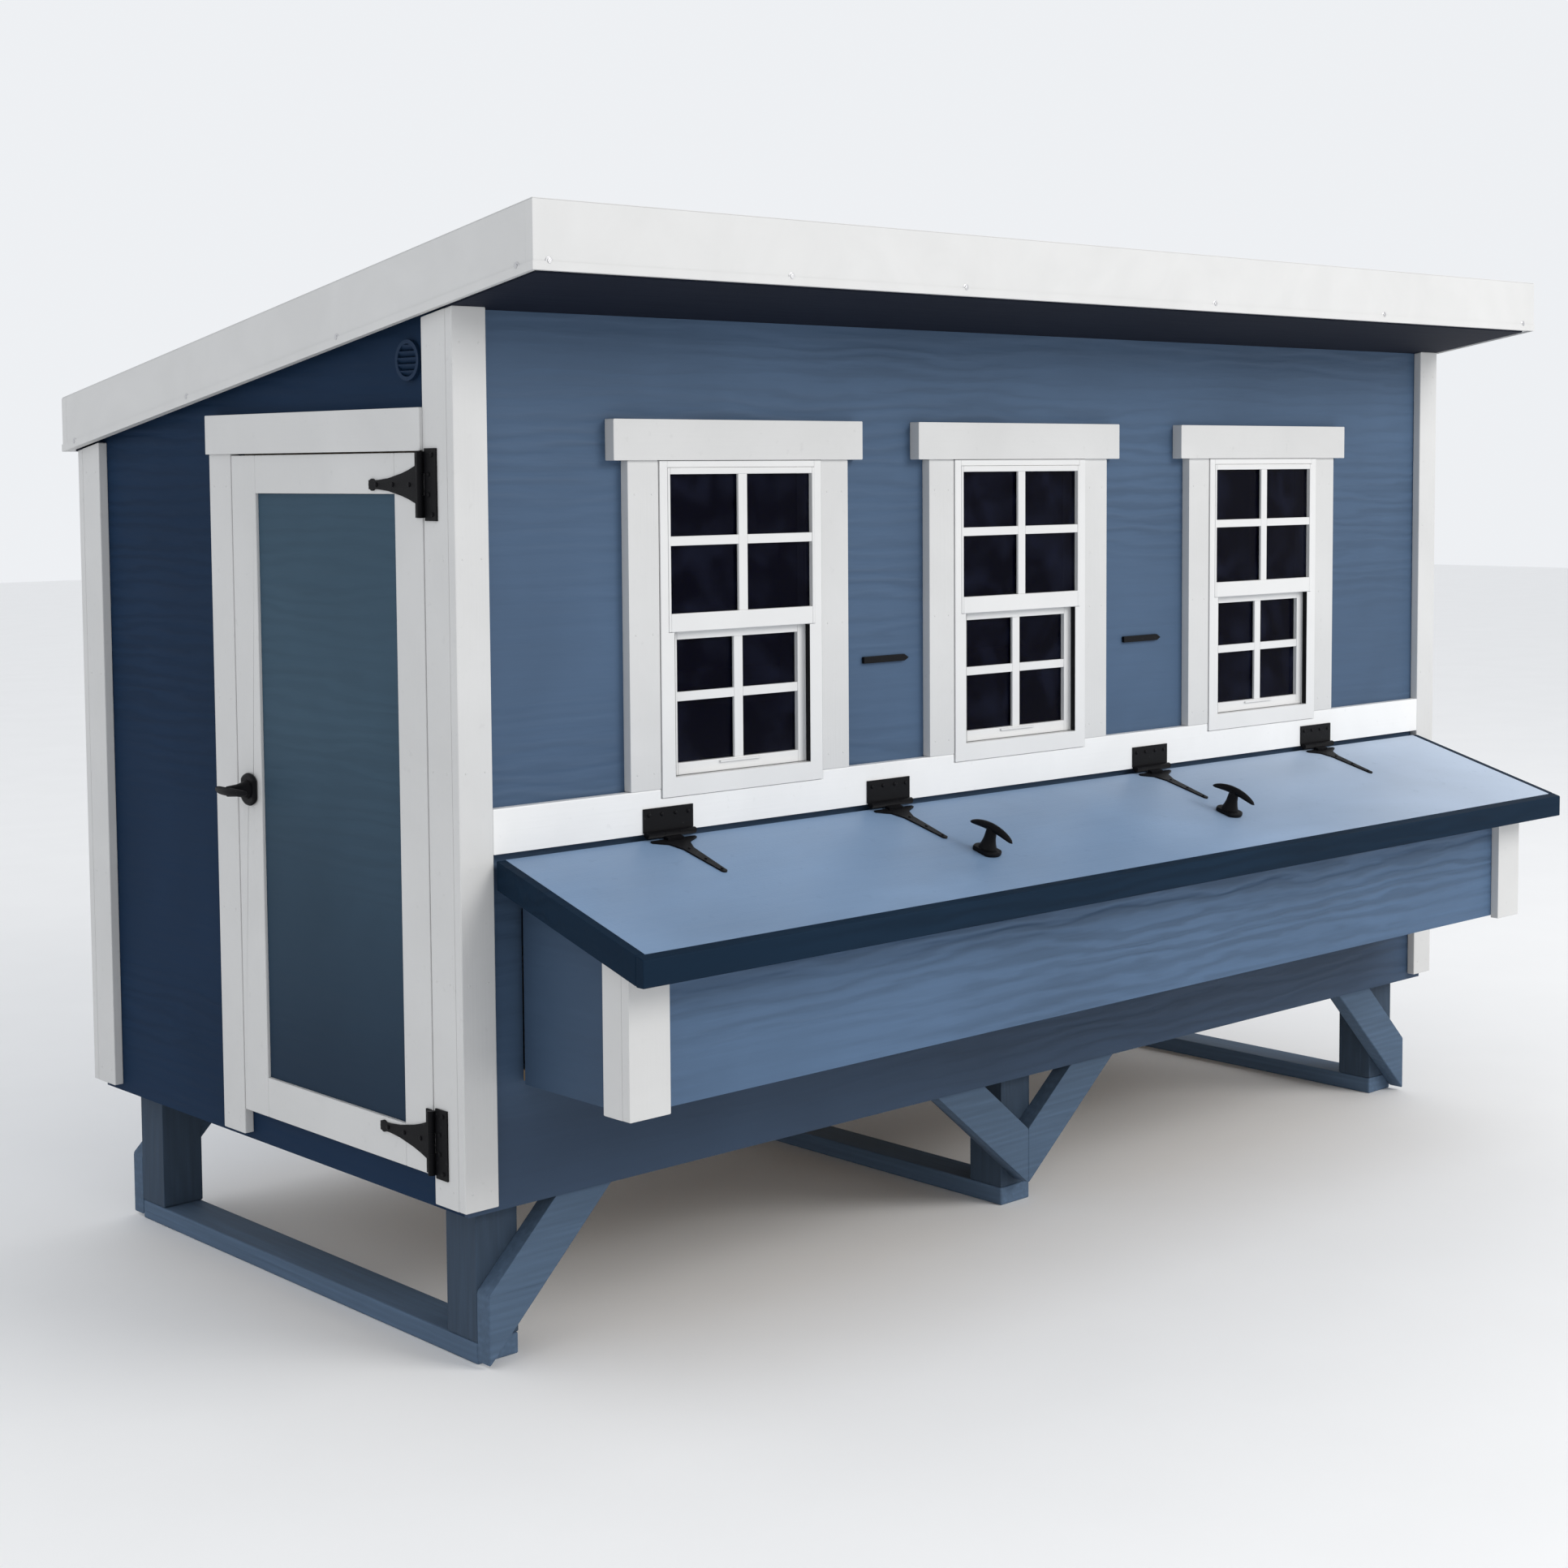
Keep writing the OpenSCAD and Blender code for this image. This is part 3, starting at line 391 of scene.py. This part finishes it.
def make_materials():
    # A fade is an axis, the places in metres where it starts and ends, and the gains it ends in
    front_fade = ("Z", 0.56, 0.42, (0.62, 0.62, 0.64))
    door_fade = ("Z", 1.1, 0.45, (0.4, 0.42, 0.5))
    return {
        "siding": embossed("siding_x", BLUE, "X", fade=front_fade),
        # End walls: the siding paint darkened as painted shade
        "siding_end_shaded": embossed("siding_y", BLUE_END_SHADED, "Y", roughness=0.6, shine=0.05),
        "door_skin": embossed("door_skin", BLUE_DOOR, "Y", 0.0007, fade=door_fade, carve=0.25, shine=0.05),
        # Nest box: front lightened as painted light, ends darkened as painted shade, both from the siding
        # blue
        "nest_skin_lit": embossed("nest_skin_lit", tint(BLUE, 1.25), "X", 0.0026, carve=0.85),
        "nest_end_shaded": embossed("nest_end_shaded", tint(BLUE, 0.76), "Y", 0.0012),
        # Lid: a lighter blue and a lightening towards one end, both painted reflection
        "lid_skin": painted_sheet("lid_skin", LID_BLUE_SHEEN),
        # Lid edges: the paint darkened as painted shade under the lid
        "lid_edge_shaded": embossed("lid_edge_shaded", BLUE_EDGE_SHADED, "X", 0.0008, roughness=0.6, shine=0.05),
        # Soffit: navy darkened further as painted shade under the overhang
        "soffit": painted_board("soffit", NAVY_SHADED, "X", roughness=0.8, shine=0.2),
        "white_z": painted_board("white_upright", WHITE, "Z"),
        "white_x": painted_board("white_level", WHITE, "X"),
        # Band board: the trim white lightened as painted light
        "white_band_lit": painted_board("white_band_lit", WHITE_BAND_LIT, "X"),
        "white_y": painted_board("white_end", WHITE, "Y"),
        "roof": coated_metal("roof_white", WHITE_METAL, 0.5, peel=0.0001),
        # Legs share one paint: posts darkened as painted shade, rails and braces lightened as painted light
        "legs_shaded": rough_lumber("legs_shaded", tint(LEG_BLUE, 0.7), "Z", stain=1.0),
        "legs_lit_y": rough_lumber("leg_rails_lit", tint(LEG_BLUE, 1.45), "Y", stain=1.0),
        "legs_lit_x": rough_lumber("leg_braces_lit", tint(LEG_BLUE, 1.3), "X", stain=1.0),
        "timber_x": rough_lumber("timber_x", TIMBER, "X", stain=0.0),
        "timber_y": rough_lumber("timber_y", TIMBER, "Y", stain=0.0),
        "timber_z": rough_lumber("timber_z", TIMBER, "Z", stain=0.0),
        "plywood": plywood("plywood"),
        "black": coated_metal("black_coat", BLACK, 0.45, peel=0.0004, wear=0.1, shine=0.1),
        "steel": coated_metal("plated_steel", STEEL, 0.35, peel=0.0001, metallic=0.9),
        "vinyl": vinyl("vinyl"),
        "glass": window_glass("window_glass"),
        # The vent takes the end walls' painted shade
        "vent": coated_metal("vent_painted", BLUE_END_SHADED, 0.5, shine=0.1),
    }


# The nodes that wear each material
NODE_LOOK = {
    "siding": ["siding_front", "siding_rear"],
    "siding_end_shaded": ["siding_left", "siding_right"],
    "door_skin": ["door_panel"],
    "nest_skin_lit": ["nest_front", "ramp_door"],
    "nest_end_shaded": ["nest_ends"],
    "lid_skin": ["lid_panel"],
    "lid_edge_shaded": ["lid_edges"],
    "soffit": ["roof_soffit"],
    "white_z": ["corner_trims", "window_casings", "door_jamb", "door_frame", "nest_trims"],
    "white_x": ["window_headers"],
    "white_band_lit": ["band_board"],
    "white_y": ["door_header"],
    "roof": ["roof_metal", "roof_fascia"],
    "legs_shaded": ["posts"],
    "legs_lit_y": ["rails"],
    "legs_lit_x": ["braces"],
    "timber_x": ["nest_lip", "wall_plates", "roost_bars", "lid_catches"],
    "timber_y": ["floor_frame", "rafters", "roost_cleats"],
    "timber_z": ["wall_studs"],
    "plywood": ["floor_panel", "roof_deck", "nest_floor", "nest_dividers"],
    "black": ["door_hinge_plates", "door_hinge_straps", "door_rose", "lid_hinge_leaves", "lid_hinge_straps",
              "lid_roses", "wall_keepers", "ramp_hinges", "ramp_straps", "ramp_button"],
    "steel": ["roof_screws"],
    "vinyl": ["window_frames", "upper_sashes", "sash_1", "sash_2", "sash_3"],
    "glass": ["upper_glass", "sash_glass_1", "sash_glass_2", "sash_glass_3"],
    "vent": ["vents"],
}

# Edge rounding in metres, for boards and castings
ROUNDED = {
    0.0035: ["posts", "rails", "braces"],
    0.0018: ["corner_trims", "window_casings", "window_headers", "band_board", "door_jamb", "door_header",
             "door_frame", "nest_trims", "lid_edges", "roost_bars", "ramp_door"],
    0.0012: ["window_frames", "upper_sashes", "sash_1", "sash_2", "sash_3", "roof_fascia",
             "door_hinge_plates", "door_hinge_straps", "lid_hinge_leaves", "lid_hinge_straps",
             "ramp_button", "wall_keepers"],
    0.0045: ["door_rose", "lid_roses"],
}
WELD_DISTANCE = 0.00001
SHARP_ANGLE = 40


def dress_nodes(looks):
    for look, names in NODE_LOOK.items():
        for name in names:
            for slot in NODES[name].material_slots:
                slot.link = "OBJECT"
                slot.material = looks[look]


def round_edges():
    for width, names in ROUNDED.items():
        for name in names:
            weld = NODES[name].modifiers.new("weld", "WELD")
            weld.merge_threshold = WELD_DISTANCE
            bevel = NODES[name].modifiers.new("bevel", "BEVEL")
            bevel.width = width
            bevel.segments = 2
            bevel.limit_method = "ANGLE"
            bevel.angle_limit = math.radians(SHARP_ANGLE)


# ---- Mesh builders ----

EYE = Matrix.Identity(4)


def add_piece(name, bm, body, material, smooth=True):
    """Turns a mesh into a piece that rides on a body"""
    mesh = bpy.data.meshes.new(name)
    bmesh.ops.recalc_face_normals(bm, faces=bm.faces)
    bm.to_mesh(mesh)
    bm.free()
    for face in mesh.polygons:
        face.use_smooth = smooth
    piece = bpy.data.objects.new(name, mesh)
    bpy.context.collection.objects.link(piece)
    mesh.materials.append(material)
    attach(piece, body)
    return piece


def add_rings(bm, rings):
    """Skins a list of equal vertex rings and caps both ends"""
    loops = [[bm.verts.new(point) for point in ring] for ring in rings]
    count = len(loops[0])
    for low, high in zip(loops, loops[1:]):
        for i in range(count):
            j = (i + 1) % count
            bm.faces.new((low[i], low[j], high[j], high[i]))
    bm.faces.new(list(reversed(loops[0])))
    bm.faces.new(loops[-1])


def lathe(bm, matrix, profile, count=28):
    """A round body about the matrix's Z axis, from (radius, height) pairs"""
    turns = [2 * math.pi * i / count for i in range(count)]
    rings = []
    for radius, height in profile:
        rings.append([matrix @ Vector((radius * math.cos(t), radius * math.sin(t), height)) for t in turns])
    add_rings(bm, rings)


def box(bm, matrix, low, high):
    """A box between two corners"""
    outline = ((low[0], low[1]), (high[0], low[1]), (high[0], high[1]), (low[0], high[1]))
    add_rings(bm, [[matrix @ Vector((x, y, z)) for x, y in outline] for z in (low[2], high[2])])


def toward(location, normal):
    """A frame at a point with Z along a normal"""
    turn = Vector(normal).to_track_quat("Z", "Y").to_matrix().to_4x4()
    return Matrix.Translation(Vector(location)) @ turn


def corners(node):
    """Low and high corner of a node's own box"""
    low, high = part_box(node)
    return Vector(low), Vector(high)


def islands(node):
    """Low and high corners of each of a node's separate solids, from its mesh islands"""
    bm = bmesh.new()
    bm.from_mesh(NODES[node].data)
    bmesh.ops.remove_doubles(bm, verts=bm.verts, dist=1e-6)
    left = set(bm.verts)
    found = []
    while left:
        stack = [left.pop()]
        island = list(stack)
        while stack:
            for edge in stack.pop().link_edges:
                for vert in edge.verts:
                    if vert in left:
                        left.remove(vert)
                        stack.append(vert)
                        island.append(vert)
        low = Vector([min(vert.co[i] for vert in island) for i in range(3)])
        high = Vector([max(vert.co[i] for vert in island) for i in range(3)])
        found.append((low, high))
    bm.free()
    return sorted(found, key=lambda solid: tuple(round(c, 4) for c in solid[0]))


# ---- Handles, in metres out from the face they stand on ----

STEM_PROFILE = [(0.0177, 0.0094), (0.0168, 0.013), (0.0140, 0.020), (0.0116, 0.030), (0.0106, 0.042),
                (0.0098, 0.050)]
SHAFT_RADIUS = 0.0059
SHAFT_TOP = 0.0095
CAM_HALF = 0.0088
CAM_GAP = 0.0002
CAM_THICKNESS = 0.0036
GRIP_REACH = 0.0564
GRIP_TOP = 0.051
GRIP_DROOP = 0.0100
GRIP_RADIUS = 0.0074
GRIP_TIP = 0.0004
GRIP_STEPS = 22
GRIP_SIDES = 16

# How much the grip's half width and half height shrink towards its tips
GRIP_THINNING = (0.0022, 0.0032)


def grip_ring(matrix, t):
    """One ring of the grip at t from -1 to 1: fullest in the middle, drooping and closing at both tips"""
    full = max(0.0, 1 - t ** 6) ** 0.5
    rise = GRIP_TOP - GRIP_DROOP * t * t
    half_w, half_h = (GRIP_TIP + (GRIP_RADIUS - thinning * t * t) * full for thinning in GRIP_THINNING)
    ring = []
    for k in range(GRIP_SIDES):
        turn = 2 * math.pi * k / GRIP_SIDES
        point = Vector((half_w * math.cos(turn), t * GRIP_REACH, rise + half_h * math.sin(turn)))
        ring.append(matrix @ point)
    return ring


def handle_mesh(matrix, depth, cam):
    """T-handle: lathed stem, shaft, cam behind the panel and an arched grip with tapered tips"""
    bm = bmesh.new()
    lathe(bm, matrix, STEM_PROFILE)
    lathe(bm, matrix, [(SHAFT_RADIUS, -depth), (SHAFT_RADIUS, SHAFT_TOP)])
    cam_back = CAM_GAP - depth
    box(bm, matrix, (-CAM_HALF, -CAM_HALF, cam_back), (cam, CAM_HALF, cam_back + CAM_THICKNESS))
    add_rings(bm, [grip_ring(matrix, -1 + 2 * i / GRIP_STEPS) for i in range(GRIP_STEPS + 1)])
    return bm


def lid_normal(joint_name="lid_handle_left_turn"):
    """The lid's outward normal, which is opposite to its handles' axis"""
    return -Vector(JOINTS[joint_name]["axis"]).normalized()


def handle_matrix(joint_name):
    """The handle's own frame: Z out along its shaft, Y along the grip"""
    if joint_name == "door_handle_turn":
        out = Vector((-1, 0, 0))
        along = Vector((0, 1, 0))
    else:
        out = lid_normal(joint_name)
        along = out.cross(Vector((1, 0, 0)))
    side = along.cross(out)
    turn = Matrix((side, along, out)).transposed().to_4x4()
    return Matrix.Translation(Vector(JOINTS[joint_name]["pos_m"])) @ turn


def add_handles(looks):
    """Each handle by its joint, body, the node it replaces, its shaft's depth and its cam's reach"""
    plans = [("door_handle_turn", "door_handle", "door_handle", 0.036, 0.056),
             ("lid_handle_left_turn", "lid_handle_left", "lid_handle_1", 0.045, 0.045),
             ("lid_handle_right_turn", "lid_handle_right", "lid_handle_2", 0.045, 0.045)]
    for joint, body, node, depth, cam in plans:
        piece = add_piece(f"{body}_grip", handle_mesh(handle_matrix(joint), depth, cam), body,
                          looks["black"])
        piece.modifiers.new("edge", "EDGE_SPLIT").split_angle = math.radians(45)
        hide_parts(node)


# ---- Roof edge ----

HEM_HEIGHT = 0.014
HEM_PROUD = 0.0016
HEM_DROP = 0.0004


def hex_screw(bm, location, normal):
    """Roofing screw: a washer, its rubber ring and a hex head"""
    at = toward(location, normal)
    lathe(bm, at, [(0.0072, 0.0), (0.0072, 0.0006), (0.0060, 0.0011)], 24)
    lathe(bm, at, [(0.0042, 0.0009), (0.0042, 0.0023), (0.0036, 0.00245)], 6)


def add_roof_screws(looks):
    """Detailed screws where the frame's plain screw heads are"""
    low, high = corners("roof_fascia")
    bm = bmesh.new()
    for start, end in islands("roof_screws"):
        middle = (start + end) / 2
        if start.y < low.y:
            hex_screw(bm, (middle.x, low.y, middle.z), (0, -1, 0))
        elif end.y > high.y:
            hex_screw(bm, (middle.x, high.y, middle.z), (0, 1, 0))
        elif middle.x < 0:
            hex_screw(bm, (low.x, middle.y, middle.z), (-1, 0, 0))
        else:
            hex_screw(bm, (high.x, middle.y, middle.z), (1, 0, 0))
    piece = add_piece("roof_screw_heads", bm, "coop", looks["steel"], smooth=False)
    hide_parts("roof_screws")


def fascia_undersides():
    """Undersides of the front and the rear fascia, from the solids that run along X"""
    level = [solid for solid in islands("roof_fascia") if solid[1].x - solid[0].x > 1]
    level.sort(key=lambda solid: solid[0].y)
    return level[0][0].z, level[-1][0].z


def add_fascia_hem(looks):
    """The folded hem along the bottom of the metal fascia and rakes"""
    low, high = corners("roof_fascia")
    front, rear = fascia_undersides()
    fall = (front - rear) / (high.y - low.y)
    x0 = low.x - HEM_PROUD
    x1 = high.x + HEM_PROUD
    bm = bmesh.new()
    box(bm, EYE, (x0, low.y - HEM_PROUD, front - HEM_DROP), (x1, low.y, front + HEM_HEIGHT))
    box(bm, EYE, (x0, high.y, rear - HEM_DROP), (x1, high.y + HEM_PROUD, rear + HEM_HEIGHT))
    for inner, outer in ((x0, low.x), (high.x, x1)):
        rings = []
        for y in (low.y, high.y):
            z = front - fall * (y - low.y)
            rings.append([Vector((inner, y, z - HEM_DROP)), Vector((outer, y, z - HEM_DROP)),
                          Vector((outer, y, z + HEM_HEIGHT)), Vector((inner, y, z + HEM_HEIGHT))])
        add_rings(bm, rings)
    add_piece("fascia_hem", bm, "coop", looks["roof"], smooth=False)


# ---- Hinge screws ----

# Thickness of the hinges' leaves and straps, which their screw heads sit on
LEAF = 0.003


def pan_screw(bm, location, normal, radius=0.0042):
    """Low domed pan head"""
    dome = [(1.0, 0.0), (1.0, 0.22), (0.72, 0.48), (0.3, 0.56)]
    lathe(bm, toward(location, normal), [(radius * r, radius * h) for r, h in dome], 18)


def add_leaf_screws(looks):
    """Four screws on each fixed leaf: staggered on the door's, in a row on the lid's"""
    bm = bmesh.new()
    for low, high in islands("door_hinge_plates"):
        mid_z = (low.z + high.z) / 2
        for dz, dy in ((-0.05, 0.012), (-0.017, 0.022), (0.017, 0.022), (0.05, 0.012)):
            pan_screw(bm, (high.x - LEAF, low.y + dy, mid_z + dz), (-1, 0, 0))
    for low, high in islands("lid_hinge_leaves"):
        mid_x = (low.x + high.x) / 2
        for dx in (-0.046, -0.016, 0.016, 0.046):
            pan_screw(bm, (mid_x + dx, high.y - LEAF, high.z - 0.012), (0, -1, 0), 0.0036)
    add_piece("hinge_leaf_screws", bm, "coop", looks["black"])


def add_door_strap_screws(looks):
    bm = bmesh.new()
    for low, high in islands("door_hinge_straps"):
        mid_z = (low.z + high.z) / 2
        for dy, dz in ((0.02, 0.05), (0.02, -0.05), (0.045, 0.0), (0.095, 0.0), (0.145, 0.0)):
            pan_screw(bm, (high.x - LEAF, low.y + dy, mid_z + dz), (-1, 0, 0))
    add_piece("door_strap_screws", bm, "door", looks["black"])


def add_lid_strap_screws(looks):
    normal = lid_normal()
    rise = -normal.y / normal.z
    lid_top = corners("lid_panel")[1]
    bm = bmesh.new()
    for low, high in islands("lid_hinge_straps"):
        mid_x = (low.x + high.x) / 2
        for dy in (0.012, 0.055, 0.1):
            y = low.y + dy
            z = lid_top.z + (y - lid_top.y) * rise
            pan_screw(bm, Vector((mid_x, y, z)) + normal * LEAF, normal, 0.003)
    add_piece("lid_strap_screws", bm, "lid", looks["black"])


# ---- Window and trim details ----

SASHES = {"sash_1": "sash_left", "sash_2": "sash_middle", "sash_3": "sash_right"}
SEAL_WIDTH = 0.0012
SEAL_HEIGHT = 0.26
NAIL_SPACING = 0.4
NAIL_HEAD = [(0.0019, 0), (0.0016, 0.0003)]


def add_sash_fittings(looks):
    """A finger lift on each lower sash's bottom rail and a lock with its turn knob on the top one"""
    for node, body in SASHES.items():
        low, high = corners(node)
        mid_x = (low.x + high.x) / 2
        bm = bmesh.new()
        box(bm, EYE, (mid_x - 0.05, low.y - 0.004, low.z + 0.015),
            (mid_x + 0.05, low.y + 0.001, low.z + 0.019))
        box(bm, EYE, (mid_x - 0.02, high.y - 0.014, high.z),
            (mid_x + 0.02, high.y - 0.002, high.z + 0.007))
        lathe(bm, Matrix.Translation((mid_x, high.y - 0.008, high.z + 0.006)),
              [(0.007, 0.0), (0.007, 0.004), (0.005, 0.006)], 20)
        piece = add_piece(f"{body}_fittings", bm, body, looks["vinyl"], smooth=False)
        piece.modifiers.new("bevel", "BEVEL").width = 0.0008


def add_track_seals_and_shade(looks):
    """Dark pile strips on the stops in front of each lower sash, black also as painted shade in that recess
    """
    bm = bmesh.new()
    for node in SASHES:
        low, high = corners(node)
        for x in (low.x + 0.002, high.x - 0.002 - SEAL_WIDTH):
            # Partly weatherstrip, partly painted shade of the track recess
            box(bm, EYE, (x, low.y - 0.0145, low.z), (x + SEAL_WIDTH, low.y - 0.0035, low.z + SEAL_HEIGHT))
    add_piece("sash_seals_and_shade", bm, "coop", looks["black"], smooth=False)


def add_nail_heads(looks):
    """Filled nail heads in pairs along the upright trims of the front and the door end"""
    bm = bmesh.new()
    for node in ("corner_trims", "window_casings", "door_jamb"):
        for low, high in islands(node):
            size = high - low
            facing_front = size.y < size.x
            steps = max(2, round(size.z / NAIL_SPACING))
            for k in range(steps + 1):
                z = low.z + 0.03 + (size.z - 0.09) * k / steps
                for side in (0.22, 0.78):
                    if facing_front and low.y < 0:
                        at = toward((low.x + size.x * side, low.y, z), (0, -1, 0))
                        lathe(bm, at, NAIL_HEAD, 10)
                    elif not facing_front and low.x < 0:
                        at = toward((low.x, low.y + size.y * side, z), (-1, 0, 0))
                        lathe(bm, at, NAIL_HEAD, 10)
    add_piece("trim_nail_heads", bm, "coop", looks["white_z"])


add_camera()
LOOKS = make_materials()
add_studio()
dress_nodes(LOOKS)
round_edges()
add_handles(LOOKS)
add_roof_screws(LOOKS)
add_fascia_hem(LOOKS)
add_leaf_screws(LOOKS)
add_door_strap_screws(LOOKS)
add_lid_strap_screws(LOOKS)
add_sash_fittings(LOOKS)
add_track_seals_and_shade(LOOKS)
add_nail_heads(LOOKS)
